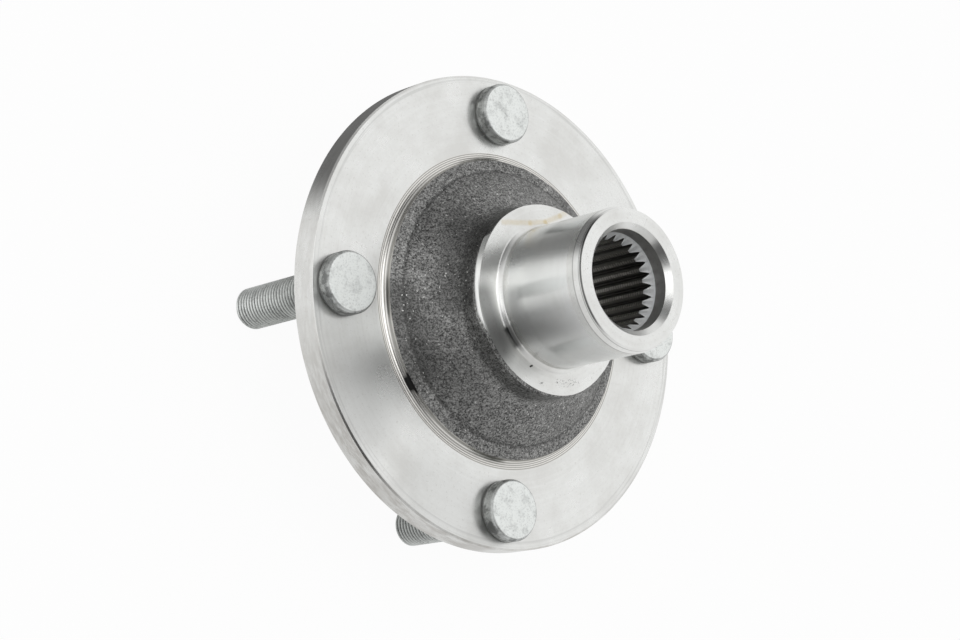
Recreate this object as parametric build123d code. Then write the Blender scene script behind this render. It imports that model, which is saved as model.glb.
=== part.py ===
from build123d import *

import math
import os

# Front wheel hub of a passenger car, without its bearing: a turned steel forging that
# carries four pressed-in wheel studs. All lengths are in millimetres.
#
# +Z runs along the hub axis towards the journal, which points into the car. The origin is
# on that axis, in the flange face that the brake disc seats on, and the first stud lies on +X.

# Wheel studs, on the bolt circle that the wheel fits
bolt_circle_diameter = 114.3
stud_count = 4
stud_thread_diameter = 11.9
stud_projection = 33.6
stud_tip_chamfer = 1.0
stud_knurl_diameter = 12.9
stud_knurl_depth = 0.25
stud_knurl_count = 36
stud_head_diameter = 17.4
stud_head_thickness = 4.2
stud_head_edge = 1.0

# Flange, whose rim stands outside the stud heads by a margin
stud_rim_margin = 2.15
flange_diameter = bolt_circle_diameter + stud_head_diameter + 2 * stud_rim_margin
flange_thickness = 8.0
flange_outboard_chamfer = 0.6
flange_inboard_chamfer = 0.5

# Spigot that centres the brake disc and the wheel, with the axle nut's recess in it
pilot_diameter = 66.0
pilot_length = 9.5
pilot_chamfer = 1.5
seat_relief_width = 3.0
seat_relief_depth = 0.5
nut_seat_diameter = 48.0
nut_seat_height = 2.0
nut_recess_draft = 12.0
nut_recess_corner = 3.0

# Forged web that rises from the flange, inside the stud heads, to the bearing shoulder
web_stud_clearance = 5.65
web_diameter = bolt_circle_diameter - stud_head_diameter - 2 * web_stud_clearance
web_edge_height = 2.2
web_base_fillet = 2.0
web_ledge_width = 3.5
web_ledge_rise = 1.2
web_slope = 42.0
neck_diameter = 56.4
neck_fillet = 7.0

# Turned bearing seat: shoulder, journal and nose, with heights above the flange's inboard face
shoulder_diameter = 54.6
shoulder_height = 21.5
shoulder_turned_band = 1.9
shoulder_fillet = 1.9
journal_diameter = 40.0
nose_height = 52.64
nose_lead_length = 2.0
nose_lead_angle = 14.0
nose_edge_length = 0.74
nose_edge_angle = 18.0

# Mouth of the bore, from the nose's end face inwards
mouth_chamfer = 1.53
counterbore_diameter = 27.86
counterbore_depth = 5.1
counterbore_taper = 5.0
spline_entry_angle = 24.5

# Splined bore that the drive shaft's stub fits
spline_teeth = 25
spline_module = 1.0
spline_pressure_angle = 45.0
spline_tip_relief = 0.35
spline_root_depth = 0.60
spline_clocking = 4.2
spline_exit_chamfer = 1.3

# Clearances
press_clearance = 0.01
cut_overrun = 1.0


def inboard_face():
    """Height of the flange's inboard face."""
    return flange_thickness


def nose_face():
    """Height of the journal's end face."""
    return inboard_face() + nose_height


def spline_tip_radius():
    """Radius over the tips of the bore's teeth."""
    return spline_teeth * spline_module / 2 - spline_tip_relief


def spline_root_radius():
    """Radius at the bottom of the spaces between the bore's teeth."""
    return spline_teeth * spline_module / 2 + spline_root_depth


def taper(length, degrees):
    """Change of radius over a length along the axis, at an angle to the axis."""
    return length * math.tan(math.radians(degrees))


def outboard_corners():
    """Section corners (radius, height) of the spigot, its recess and the disc seat."""
    nut_seat_radius = nut_seat_diameter / 2
    pilot_radius = pilot_diameter / 2
    recess_mouth = nut_seat_radius + taper(pilot_length + nut_seat_height, nut_recess_draft)
    relief_radius = pilot_radius + seat_relief_width
    return [
        (nut_seat_radius, nut_seat_height),
        (recess_mouth, -pilot_length),
        (pilot_radius - pilot_chamfer, -pilot_length),
        (pilot_radius, pilot_chamfer - pilot_length),
        (pilot_radius, seat_relief_depth),
        (relief_radius, seat_relief_depth),
        (relief_radius, 0),
    ]


def flange_corners():
    """Section corners of the flange's rim."""
    flange_radius = flange_diameter / 2
    return [
        (flange_radius - flange_outboard_chamfer, 0),
        (flange_radius, flange_outboard_chamfer),
        (flange_radius, inboard_face() - flange_inboard_chamfer),
        (flange_radius - flange_inboard_chamfer, inboard_face()),
    ]


def web_corners():
    """Section corners of the forged web, from the flange up to the turned shoulder."""
    web_radius = web_diameter / 2
    neck_radius = neck_diameter / 2
    edge_top = inboard_face() + web_edge_height
    crease_radius = web_radius - web_ledge_width
    crease_height = edge_top + web_ledge_rise
    neck_foot = crease_height + taper(crease_radius - neck_radius, web_slope)
    band_foot = inboard_face() + shoulder_height - shoulder_turned_band
    return [
        (web_radius, inboard_face()),
        (web_radius, edge_top),
        (crease_radius, crease_height),
        (neck_radius, neck_foot),
        (neck_radius, band_foot),
        (shoulder_diameter / 2, band_foot),
    ]


def journal_corners():
    """Section corners of the shoulder face, the journal and its lead-in to the nose."""
    journal_radius = journal_diameter / 2
    shoulder_face = inboard_face() + shoulder_height
    edge_foot = nose_face() - nose_edge_length
    lead_foot = edge_foot - nose_lead_length
    edge_radius = journal_radius - taper(nose_lead_length, nose_lead_angle)
    end_radius = edge_radius - taper(nose_edge_length, nose_edge_angle)
    return [
        (shoulder_diameter / 2, shoulder_face),
        (journal_radius, shoulder_face),
        (journal_radius, lead_foot),
        (edge_radius, edge_foot),
        (end_radius, nose_face()),
    ]


def bore_corners():
    """Section corners of the bore, from the nose down to the axle nut's seat."""
    mouth_radius = counterbore_diameter / 2
    wall_top = nose_face() - mouth_chamfer
    wall_foot = nose_face() - counterbore_depth
    wall_foot_radius = mouth_radius - taper(wall_top - wall_foot, counterbore_taper)
    tip_radius = spline_tip_radius()
    entry_length = (wall_foot_radius - tip_radius) / math.tan(math.radians(spline_entry_angle))
    return [
        (mouth_radius + mouth_chamfer, nose_face()),
        (mouth_radius, wall_top),
        (wall_foot_radius, wall_foot),
        (tip_radius, wall_foot - entry_length),
        (tip_radius, nut_seat_height + spline_exit_chamfer),
        (tip_radius + spline_exit_chamfer, nut_seat_height),
    ]


def round_corner(section, corner, radius):
    """Rounds the section's corner that lies at (radius from the axis, height)."""
    vertex = section.vertices().sort_by_distance((corner[0], corner[1], 0))[0]
    return fillet(vertex, radius)


def hub_section():
    """Half section of the hub, with its forged and turned fillets."""
    outboard = outboard_corners()
    web = web_corners()
    journal = journal_corners()
    corners = outboard + flange_corners() + web + journal + bore_corners()
    section = make_face(Polyline(*corners, close=True))
    section = round_corner(section, outboard[0], nut_recess_corner)
    section = round_corner(section, web[0], web_base_fillet)
    section = round_corner(section, web[3], neck_fillet)
    return round_corner(section, journal[1], shoulder_fillet)


def involute_turn(radius):
    """Turn in radians of the tooth flank's involute, from its base circle out to a radius."""
    base_radius = spline_teeth * spline_module / 2 * math.cos(math.radians(spline_pressure_angle))
    pressure = math.acos(base_radius / radius)
    return math.tan(pressure) - pressure


def space_half_angle(radius):
    """Half the angle in radians that one tooth space takes up at a radius."""
    pitch_radius = spline_teeth * spline_module / 2
    at_pitch_circle = math.pi / (2 * spline_teeth)
    return at_pitch_circle - (involute_turn(radius) - involute_turn(pitch_radius))


def polar(radius, angle):
    """Point at a radius and an angle in radians."""
    return (radius * math.cos(angle), radius * math.sin(angle))


def spline_space():
    """Outline of one tooth space: two involute flanks, the root and a mouth in the open bore."""
    tip_radius = spline_tip_radius()
    root_radius = spline_root_radius()
    flank_radii = (tip_radius, (tip_radius + root_radius) / 2, root_radius)
    lower = [polar(radius, -space_half_angle(radius)) for radius in flank_radii]
    upper = [polar(radius, space_half_angle(radius)) for radius in flank_radii]
    mouth_radius = tip_radius - cut_overrun
    mouth_angle = space_half_angle(tip_radius)
    mouth_low = polar(mouth_radius, -mouth_angle)
    mouth_high = polar(mouth_radius, mouth_angle)
    outline = [
        Line(mouth_low, lower[0]),
        ThreePointArc(*lower),
        ThreePointArc(lower[2], polar(root_radius, 0), upper[2]),
        ThreePointArc(*reversed(upper)),
        Line(upper[0], mouth_high),
        Line(mouth_high, mouth_low),
    ]
    return make_face(outline)


def spline_spaces():
    """All tooth spaces of the bore, as the tool that cuts them."""
    bottom = nut_seat_height - cut_overrun
    length = nose_face() - counterbore_depth - bottom
    space = extrude(spline_space(), length)
    pitch = 360 / spline_teeth
    return [
        Pos(0, 0, bottom) * Rot(0, 0, spline_clocking + index * pitch) * space
        for index in range(spline_teeth)
    ]


def stud_places():
    """Places of the studs' axes in the disc seat."""
    pitch = 360 / stud_count
    return [
        Rot(0, 0, index * pitch) * Pos(bolt_circle_diameter / 2, 0, 0)
        for index in range(stud_count)
    ]


def stud_hole():
    """Hole that the stud's knurl is pressed into, as the tool that cuts it."""
    hole_radius = stud_knurl_diameter / 2 + press_clearance
    hole_length = flange_thickness + 2 * cut_overrun
    hole = Cylinder(hole_radius, hole_length, align=(Align.CENTER, Align.CENTER, Align.MIN))
    return Pos(0, 0, -cut_overrun) * hole


def wheel_hub():
    """The hub: one forging, turned all over apart from its web."""
    section = Plane.XZ * hub_section()
    body = revolve(section, Axis.Z)
    holes = [place * stud_hole() for place in stud_places()]
    return body - holes - spline_spaces()


def stud_head():
    """Round stud head that seats on the flange's inboard face."""
    bottom = (Align.CENTER, Align.CENTER, Align.MIN)
    head = Cylinder(stud_head_diameter / 2, stud_head_thickness, align=bottom)
    rim = head.edges().filter_by(GeomType.CIRCLE).sort_by(Axis.Z)[-1]
    return Pos(0, 0, inboard_face()) * fillet(rim, stud_head_edge)


def stud_knurl():
    """Serrated length of the shank, which bites into the flange's hole from end to end."""
    crest = stud_knurl_diameter / 2
    root = crest - stud_knurl_depth
    step = math.pi / stud_knurl_count
    points = [polar(root if index % 2 else crest, index * step) for index in range(2 * stud_knurl_count)]
    outline = make_face(Polyline(*points, close=True))
    return extrude(outline, flange_thickness)


def stud_shank():
    """Shank from the head to the chamfered tip, at the thread's outer diameter."""
    top = (Align.CENTER, Align.CENTER, Align.MAX)
    length = inboard_face() + stud_projection
    shank = Cylinder(stud_thread_diameter / 2, length, align=top)
    tip = shank.edges().filter_by(GeomType.CIRCLE).sort_by(Axis.Z)[0]
    return Pos(0, 0, inboard_face()) * chamfer(tip, stud_tip_chamfer)


def wheel_stud():
    """One stud, on its own axis, seated in the flange."""
    return stud_head() + stud_knurl() + stud_shank()


def main():
    """Builds every piece and writes one STEP file for each."""
    os.makedirs("parts", exist_ok=True)
    export_step(wheel_hub(), "parts/wheel_hub.step")
    stud = wheel_stud()
    for number, place in enumerate(stud_places(), start=1):
        export_step(place * stud, f"parts/wheel_stud_{number}.step")


main()
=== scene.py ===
"""Looks of a car's front wheel hub: a turned steel forging that carries four wheel studs.

Every mesh is modelled in millimetres in the hub's own frame, +Z along the axis towards the
journal, and is scaled to metres when it becomes an object.
"""

import logging
import math
from dataclasses import dataclass, field
from enum import IntEnum
from typing import Any, Iterable, Sequence, Union

import bmesh
import bpy
from bpy.types import ID, Material, Mesh, NodeSocket, NodeTree, Object
from mathutils import Matrix, Vector, noise


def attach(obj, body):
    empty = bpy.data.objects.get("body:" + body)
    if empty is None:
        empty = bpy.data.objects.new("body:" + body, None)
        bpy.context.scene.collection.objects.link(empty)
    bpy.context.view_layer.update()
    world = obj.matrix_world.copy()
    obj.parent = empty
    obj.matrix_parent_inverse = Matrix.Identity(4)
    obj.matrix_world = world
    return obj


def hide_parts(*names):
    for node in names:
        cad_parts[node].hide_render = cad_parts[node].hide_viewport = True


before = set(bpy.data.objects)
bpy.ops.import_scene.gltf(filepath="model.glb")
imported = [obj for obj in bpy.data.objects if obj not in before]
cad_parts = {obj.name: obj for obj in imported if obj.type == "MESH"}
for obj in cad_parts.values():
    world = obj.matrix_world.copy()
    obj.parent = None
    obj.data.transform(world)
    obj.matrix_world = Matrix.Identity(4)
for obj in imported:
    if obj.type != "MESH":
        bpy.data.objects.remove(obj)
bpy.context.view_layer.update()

LOG = logging.getLogger("wheel_hub")
MM = 0.001
PER_METRE = 1000.0
AXIS = Vector((0.0, 0.0, 1.0))
ORIGIN = Vector((0.0, 0.0, 0.0))
WHITE = (1.0, 1.0, 1.0, 1.0)

# Millimetres that a shape and its finish share.
FLANGE_FACE = 8.0
SHOULDER_FACE = 29.5
NOSE_FACE = 60.64
CREASE_RADIUS = 39.3
BOLT_CIRCLE_RADIUS = 57.15
HEAD_RADIUS = 8.7
THREAD_CREST = 5.87
THREAD_ROOT = 5.1

Span = tuple[float, float]
Colour = tuple[float, float, float, float]


class Zone(IntEnum):
    """Finishes of the hub, in the order of its material slots."""

    TURNED = 0
    FORGED = 1
    GROUND = 2
    BROACHED = 3
    BORED = 4
    LEAD_IN = 5


# ---------------------------------------------------------------------------
# Shader graphs
# ---------------------------------------------------------------------------


class Signal:
    """A shader output on which Python's operators add Math nodes."""

    def __init__(self, graph: "Graph", output: NodeSocket) -> None:
        """Wraps one output socket of a graph."""
        self.graph = graph
        self.output = output

    def beside(self, name: str) -> "Signal":
        """Another output of the node that this signal comes from."""
        return Signal(self.graph, self.output.node.outputs[name])

    def math(self, operation: str, *values: "Value") -> "Signal":
        """Adds one Math node.

        Args:
            operation: Name of the Math node's operation.
            values: Numbers or signals for its inputs, in order.

        Returns:
            The node's output.
        """
        return self.graph.add("ShaderNodeMath", {"operation": operation}, dict(enumerate(values)))

    def __add__(self, other: "Value") -> "Signal":
        """Sum of this signal and another value."""
        return self.math("ADD", self, other)

    def __radd__(self, other: "Value") -> "Signal":
        """Sum of another value and this signal."""
        return self.math("ADD", other, self)

    def __sub__(self, other: "Value") -> "Signal":
        """This signal less another value."""
        return self.math("SUBTRACT", self, other)

    def __rsub__(self, other: "Value") -> "Signal":
        """Another value less this signal."""
        return self.math("SUBTRACT", other, self)

    def __mul__(self, other: "Value") -> "Signal":
        """Product of this signal and another value."""
        return self.math("MULTIPLY", self, other)

    def __rmul__(self, other: "Value") -> "Signal":
        """Product of another value and this signal."""
        return self.math("MULTIPLY", other, self)

    def __abs__(self) -> "Signal":
        """This signal without its sign."""
        return self.math("ABSOLUTE", self)

    def smaller(self, other: "Value") -> "Signal":
        """The smaller of this signal and another value."""
        return self.math("MINIMUM", self, other)

    def larger(self, other: "Value") -> "Signal":
        """The larger of this signal and another value."""
        return self.math("MAXIMUM", self, other)

    def root(self) -> "Signal":
        """Square root of this signal."""
        return self.math("SQRT", self)

    def wave(self) -> "Signal":
        """Sine of this signal, which is in radians."""
        return self.math("SINE", self)

    def held(self) -> "Signal":
        """This signal, held between 0 and 1."""
        return self.larger(0.0).smaller(1.0)

    def step(self, start: float, end: float) -> "Signal":
        """Smooth rise from 0 where this signal is at start to 1 where it is at end."""
        inputs = {"Value": self, "From Min": start, "From Max": end}
        return self.graph.add("ShaderNodeMapRange", {"interpolation_type": "SMOOTHSTEP"}, inputs)

    def within(self, span: Span, soft: float) -> "Signal":
        """1 where this signal lies in a span, falling to 0 over a soft border on either side."""
        low, high = span
        return self.step(low - soft, low) * (1 - self.step(high, high + soft))


Value = Union[Signal, float, tuple, Vector]


@dataclass(frozen=True)
class Grain:
    """Kind of noise: size of its largest grains in millimetres, and its finer layers' number and strength."""

    size: float
    layers: float = 2.0
    strength: float = 0.5


class Graph:
    """The node tree of one material or of the world."""

    def __init__(self, tree: NodeTree) -> None:
        """Empties the tree and keeps it."""
        self.tree = tree
        self.tree.nodes.clear()

    def feed(self, socket: NodeSocket, value: Value) -> None:
        """Links a signal to an input socket, or gives the socket a plain value.

        Args:
            socket: The input socket.
            value: The signal or the value.
        """
        if isinstance(value, Signal):
            self.tree.links.new(value.output, socket)
        else:
            socket.default_value = value

    def add(self, kind: str, settings: dict[str, Any] | None = None,
            inputs: dict[Any, Value] | None = None, output: int | str = 0) -> Signal:
        """Adds one node, with its settings first and then its inputs.

        Args:
            kind: The node's type name.
            settings: Values of the node's own properties.
            inputs: Values or signals by socket name or number.
            output: Name or number of the output that is wanted.

        Returns:
            That output.
        """
        node = self.tree.nodes.new(kind)
        for name, value in (settings or {}).items():
            setattr(node, name, value)
        for name, value in (inputs or {}).items():
            self.feed(node.inputs[name], value)
        return Signal(self, node.outputs[output])

    def finish(self, shader: Signal, kind: str = "ShaderNodeOutputMaterial") -> None:
        """Links the finished shader to a new output node of the tree."""
        self.feed(self.tree.nodes.new(kind).inputs["Surface"], shader)

    def place(self) -> Signal:
        """The shaded point in the hub's frame, in metres."""
        return self.add("ShaderNodeTexCoord", output="Object")

    def parts(self, vector: Signal) -> tuple[Signal, Signal, Signal]:
        """X, Y and Z of a vector."""
        x = self.add("ShaderNodeSeparateXYZ", inputs={"Vector": vector}, output="X")
        return x, x.beside("Y"), x.beside("Z")

    def speckle(self, vector: Signal, grain: Grain) -> Signal:
        """Noise from 0 to 1.

        Args:
            vector: Where the noise is read, in metres.
            grain: Kind of noise.

        Returns:
            The noise.
        """
        scale = 1 / (grain.size * MM)
        inputs = {"Vector": vector, "Scale": scale, "Detail": grain.layers, "Roughness": grain.strength}
        return self.add("ShaderNodeTexNoise", {"noise_dimensions": "3D"}, inputs)

    def blend(self, mask: Value, first: Value, second: Value) -> Signal:
        """Colour that goes from the first to the second as the mask goes from 0 to 1.

        Args:
            mask: Share of the second colour.
            first: Colour where the mask is 0.
            second: Colour where it is 1.

        Returns:
            The mixed colour.
        """
        factor, colour_a, colour_b, result = 0, 6, 7, 2
        inputs = {factor: mask, colour_a: first, colour_b: second}
        return self.add("ShaderNodeMix", {"data_type": "RGBA"}, inputs, result)


class Spot:
    """The shaded point: its place in metres, and its X, Y, Z and radius in millimetres."""

    def __init__(self, graph: Graph) -> None:
        """Adds the nodes that find the point.

        Args:
            graph: Node tree of the point's material.
        """
        self.graph = graph
        self.place = graph.place()
        self.x, self.y, self.z = (axis * PER_METRE for axis in graph.parts(self.place))
        self.radius = (self.x * self.x + self.y * self.y).root()

    def speckle(self, grain: Grain) -> Signal:
        """Noise at the point."""
        return self.graph.speckle(self.place, grain)

    def streaks(self, grain: Grain, x: Signal, y: Signal, z: Signal) -> Signal:
        """Noise read at other measures, so that it is drawn out along those that are shortened.

        Args:
            grain: Kind of noise.
            x: What stands for the point's X, in millimetres.
            y: What stands for its Y.
            z: What stands for its Z.

        Returns:
            The noise.
        """
        vector = self.graph.add("ShaderNodeCombineXYZ", inputs={"X": x * MM, "Y": y * MM, "Z": z * MM})
        return self.graph.speckle(vector, grain)


@dataclass
class Skin:
    """Colour, roughness and normal of a finish while they are put together."""

    graph: Graph
    colour: Value
    roughness: Value
    normal: Signal | None = None

    def lay(self, mask: Value, colour: Value) -> None:
        """Lays a colour over the skin, as far as a mask goes towards 1."""
        self.colour = self.graph.blend(mask, self.colour, colour)

    def emboss(self, height: Signal, depth: float) -> None:
        """Raises the skin.

        Args:
            height: Height from 0 to 1.
            depth: Height in millimetres that 1 stands for.
        """
        inputs = {"Height": height, "Distance": depth * MM}
        if self.normal is not None:
            inputs["Normal"] = self.normal
        self.normal = self.graph.add("ShaderNodeBump", inputs=inputs)

    def inputs(self) -> dict[str, Value]:
        """The Principled shader's inputs that the skin stands for.

        Returns:
            Values or signals by socket name.
        """
        inputs = {"Base Color": self.colour, "Roughness": self.roughness}
        if self.normal is not None:
            inputs["Normal"] = self.normal
        return inputs


# ---------------------------------------------------------------------------
# Finishes
# ---------------------------------------------------------------------------


@dataclass(frozen=True)
class Finish:
    """A metal's finish: its name, plain colour and plain roughness."""

    name: str
    colour: tuple[float, float, float]
    roughness: float
    metallic: float = 1.0
    anisotropy: float = 0.0
    groove_turn: float = 0.25

    def tinted(self, factor: float, warmth: float = 0.0) -> Colour:
        """The finish's colour, scaled and warmed."""
        red, green, blue = self.colour
        return (red * factor * (1 + warmth), green * factor, blue * factor * (1 - warmth), 1.0)

    def shade(self, spot: Spot, skin: Skin) -> None:
        """Varies the skin over the surface. A plain finish leaves it as it is."""

    def material(self) -> Material:
        """Makes the material.

        Returns:
            The material, with one Principled shader on its output.
        """
        made = bpy.data.materials.new(self.name)
        made.use_nodes = True
        graph = Graph(made.node_tree)
        skin = Skin(graph, self.tinted(1.0), self.roughness)
        self.shade(Spot(graph), skin)
        graph.finish(graph.add("ShaderNodeBsdfPrincipled", inputs={
            **skin.inputs(),
            "Metallic": self.metallic,
            "Anisotropic": self.anisotropy,
            "Anisotropic Rotation": self.groove_turn,
        }))
        return made


@dataclass(frozen=True)
class Mark:
    """A stain, a painted shade or a nick between two points of the hub, in millimetres.

    It lies as far as its reach above and below its height, and softens beyond its width. Its
    depth is the share that it has where it is strongest.
    """

    start: tuple[float, float]
    end: tuple[float, float]
    height: float
    width: float
    soft: float
    depth: float
    reach: float = 0.4
    fade: float = 0.1

    def mask(self, spot: Spot) -> Signal:
        """Share of the mark at a point.

        Args:
            spot: The point.

        Returns:
            The mark's depth inside it, and 0 away from it.
        """
        run = Vector(self.end) - Vector(self.start)
        across, along = spot.x - self.start[0], spot.y - self.start[1]
        share = (across * (run.x / run.length_squared) + along * (run.y / run.length_squared)).held()
        off_x = across - share * run.x
        off_y = along - share * run.y
        distance = (off_x * off_x + off_y * off_y).root()
        near = 1 - distance.step(self.width / 2, self.width / 2 + self.soft)
        heights = (self.height - self.reach, self.height + self.reach)
        return near * spot.z.within(heights, self.fade) * self.depth


STAINS = (
    Mark((-18.4, 18.8), (-8.3, 20.1), SHOULDER_FACE, 0.5, 0.9, 0.55),
    Mark((-8.3, 20.1), (-2.6, 21.2), SHOULDER_FACE, 0.5, 0.9, 0.60),
    Mark((-2.6, 21.2), (3.2, 23.8), SHOULDER_FACE, 0.5, 0.9, 0.60),
    Mark((3.2, 23.8), (7.1, 26.2), SHOULDER_FACE, 0.5, 1.0, 0.45),
)
NICKS = (
    Mark((-9.3, -20.3), (-8.6, -20.0), SHOULDER_FACE, 0.30, 0.20, 1.0),
    Mark((-5.4, -24.5), (-5.0, -24.4), SHOULDER_FACE, 0.20, 0.20, 0.6),
    Mark((-35.6, -24.2), (-34.7, -25.5), 9.3, 0.10, 2.7, 1.4, 0.9),
    Mark((-36.4, -23.0), (-33.6, -27.1), 9.75, 0.10, 2.2, 0.9, 0.35),
)
PITS = (
    Mark((1.0, -23.8), (8.0, -23.0), SHOULDER_FACE, 0.9, 1.1, 1.0),
    Mark((-6.0, -24.6), (-4.6, -24.4), SHOULDER_FACE, 0.4, 0.8, 0.8),
)
# Painted shade: dark patches on the flange, on the shoulder and at the journal's foot stand in for shade and
# dark reflections.
PAINTED_SHADES = (
    Mark((-59.0, -8.0), (-51.0, -34.0), FLANGE_FACE, 6.0, 14.0, 0.20),
    Mark((-28.0, -54.0), (-12.0, -60.0), FLANGE_FACE, 8.0, 14.0, 0.12),
    Mark((-26.0, -3.0), (-20.0, -16.5), SHOULDER_FACE, 2.0, 6.0, 0.66),
    Mark((-17.6, -11.0), (-14.6, -14.8), 30.2, 0.3, 1.6, 0.75, 0.8),
)
# Painted shade: two soft dark patches on the forged web that stand in for shade.
PAINTED_WEB_SHADES = (
    Mark((-40.5, -1.0), (-33.5, -23.0), 12.0, 3.0, 6.0, 0.55, 8.0),
    Mark((-29.5, -2.0), (-22.5, 19.5), 20.0, 3.0, 6.0, 0.50, 12.0),
)


@dataclass(frozen=True)
class TurnedSteel(Finish):
    """Lathe-turned steel: fine rings about the hub's axis and worn patches."""

    rings: Grain = Grain(0.35, 3.0, 0.6)
    streak: Grain = Grain(0.9, 3.0, 0.7)
    clouds: Grain = Grain(16.0, 4.0, 0.55)
    mottle: Grain = Grain(1.3, 3.0, 0.7)
    dots: Grain = Grain(0.8, 2.0, 0.6)
    grain: Grain = Grain(0.5)
    ring_depth: float = 0.004
    grain_depth: float = 0.003
    wear: float = 0.14

    def path(self, spot: Spot) -> Signal:
        """Noise drawn out along the tool's path round the axis."""
        return spot.streaks(self.streak, spot.radius, spot.z, spot.y * 0.02)

    def shade(self, spot: Spot, skin: Skin) -> None:
        """Wears the steel in patches and gives it its rings, marks and grain.

        Args:
            spot: The shaded point.
            skin: The finish's skin, which is changed.
        """
        clouds = spot.speckle(self.clouds)
        worn = clouds.step(0.35, 0.75) + (self.path(spot) - 0.5) * 0.9
        worn = worn + (spot.speckle(self.mottle) - 0.5) * 0.7 + spot.speckle(self.dots).step(0.60, 0.70) * 0.8
        skin.lay(worn.held(), self.tinted(1 - self.wear, 0.01))
        skin.roughness = self.roughness + (clouds - 0.5) * 0.12
        skin.emboss(spot.streaks(self.rings, spot.radius, spot.z, spot.x * 0.004), self.ring_depth)
        self.mark(spot, skin)
        skin.emboss(spot.speckle(self.grain), self.grain_depth)

    def mark(self, spot: Spot, skin: Skin) -> None:
        """Marks the steel between its rings and its grain. Plain turned steel has no marks."""


@dataclass(frozen=True)
class MarkedSteel(TurnedSteel):
    """Turned steel of the hub's outside, with tool marks, a worn rim, stain patches and nicks, and with
    painted highlights, painted reflections and painted shades.
    """

    tool_pitch: float = 0.56
    tool_depth: float = 0.02
    tool_band: Span = (42.95, 45.3)
    tool_heights: Span = (FLANGE_FACE - 0.1, 10.1)
    nose_band: Span = (19.0, 20.1)
    edge_line_depths: Span = (0.85, 1.0)
    cone_line_depths: Span = (2.6, 2.8)
    nose_line: Span = (0.15, 0.60)
    nose_line_side: Span = (-15.5, -9.0)
    shoulder_band: Span = (26.7, 28.4)
    shoulder_heights: Span = (27.4, 29.4)
    edge_band: Span = (65.2, 67.4)
    edge_heights: Span = (FLANGE_FACE - 0.2, FLANGE_FACE - 0.1)
    rim_edge: Span = (67.3, 67.7)
    film: Grain = Grain(2.4, 3.0, 0.7)
    low_side: Span = (-45.0, -5.0)
    pitting: Grain = Grain(0.42, 3.0, 0.8)
    breaks: Grain = Grain(1.4, 3.0, 0.7)
    tan: Colour = (0.62, 0.53, 0.35, 1.0)

    def mark(self, spot: Spot, skin: Skin) -> None:
        """Adds the marks, from the tool's to the latest stain patches, with the painted light among them."""
        for add in (self.tool_marks, self.painted_nose_lines, self.edges, self.rim, self.stains_and_painted_shades):
            add(spot, skin)

    def tool_marks(self, spot: Spot, skin: Skin) -> None:
        """Cuts the coarse rings at the web's foot, with painted highlight on their crests and painted shade
        between them.

        Args:
            spot: The shaded point.
            skin: The finish's skin, which is changed.
        """
        wave = (spot.radius * (math.tau / self.tool_pitch)).wave()
        tooled = spot.radius.within(self.tool_band, 0.3) * spot.z.within(self.tool_heights, 0.1)
        # Painted light: the rings' crests are lightened and their troughs darkened, over the real grooves of
        # the bump.
        crest_highlight = wave.step(-0.2, 0.7) * (0.7 + 0.6 * (spot.speckle(self.mottle) - 0.5))
        skin.lay(tooled * (1 - crest_highlight), self.tinted(0.50, 0.03))
        skin.lay(tooled * crest_highlight, self.tinted(1.10, 0.03))
        skin.emboss(wave * tooled, self.tool_depth)

    def painted_nose_lines(self, spot: Spot, skin: Skin) -> None:
        """Draws the dark lines round the nose, one of them on one side only: painted reflections of the
        nose's small edges.

        Args:
            spot: The shaded point.
            skin: The finish's skin, which is changed.
        """
        depth = NOSE_FACE - spot.z
        nose = spot.radius.within(self.nose_band, 0.05)
        # Painted reflection: dark lines at the nose's small edges, one of them only on the -X side.
        painted_edge_lines = nose * (depth.within(self.edge_line_depths, 0.12) + depth.within(self.cone_line_depths, 0.15))
        line = nose * depth.within(self.nose_line, 0.08) * (1 - spot.x.step(*self.nose_line_side))
        skin.lay(painted_edge_lines * 0.45 + line * 0.9, self.tinted(0.12))

    def edges(self, spot: Spot, skin: Skin) -> None:
        """Paints a highlight on the band under the shoulder, and dulls the flange's edge.

        Args:
            spot: The shaded point.
            skin: The finish's skin, which is changed.
        """
        # Painted highlight: the turned band under the shoulder is lightened, standing in for a bright
        # reflection.
        band = spot.radius.within(self.shoulder_band, 0.1) * spot.z.within(self.shoulder_heights, 0.1)
        skin.lay(band, self.tinted(1.22))
        edge = spot.radius.within(self.edge_band, 0.3) * self.path(spot).step(0.50, 0.62)
        skin.lay(edge * spot.z.step(*self.edge_heights) * 0.34, self.tinted(0.62))

    def rim(self, spot: Spot, skin: Skin) -> None:
        """Lays a patchy film on the flange's rim, and makes the rim darker and warmer towards -Y.

        Args:
            spot: The shaded point.
            skin: The finish's skin, which is changed.
        """
        film = spot.streaks(self.film, spot.x * 0.3, spot.y * 0.3, spot.z).step(0.35, 0.65)
        rim = spot.radius.step(*self.rim_edge) * (0.25 + 0.75 * film)
        low = 1 - spot.y.step(*self.low_side)
        skin.lay(rim * (0.32 + 0.62 * low), self.tinted(0.60, 0.035))

    def stains_and_painted_shades(self, spot: Spot, skin: Skin) -> None:
        """Adds the broken tan stain patches, and the dark nicks, pits and painted shades.

        Args:
            spot: The shaded point.
            skin: The finish's skin, which is changed.
        """
        tan = sum(stain.mask(spot) for stain in STAINS)
        broken = 0.55 + 0.9 * (spot.speckle(self.breaks) - 0.25)
        pits = sum(pit.mask(spot) for pit in PITS) * spot.speckle(self.pitting).step(0.55, 0.64)
        # The dark layer holds real nicks and pits and the painted shades.
        dark = (sum(mark.mask(spot) for mark in (*NICKS, *PAINTED_SHADES)) + pits).held()
        skin.lay((tan * broken).held(), self.tan)
        skin.lay(dark, self.tinted(0.04))
        skin.roughness = skin.roughness + dark * 0.15


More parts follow.
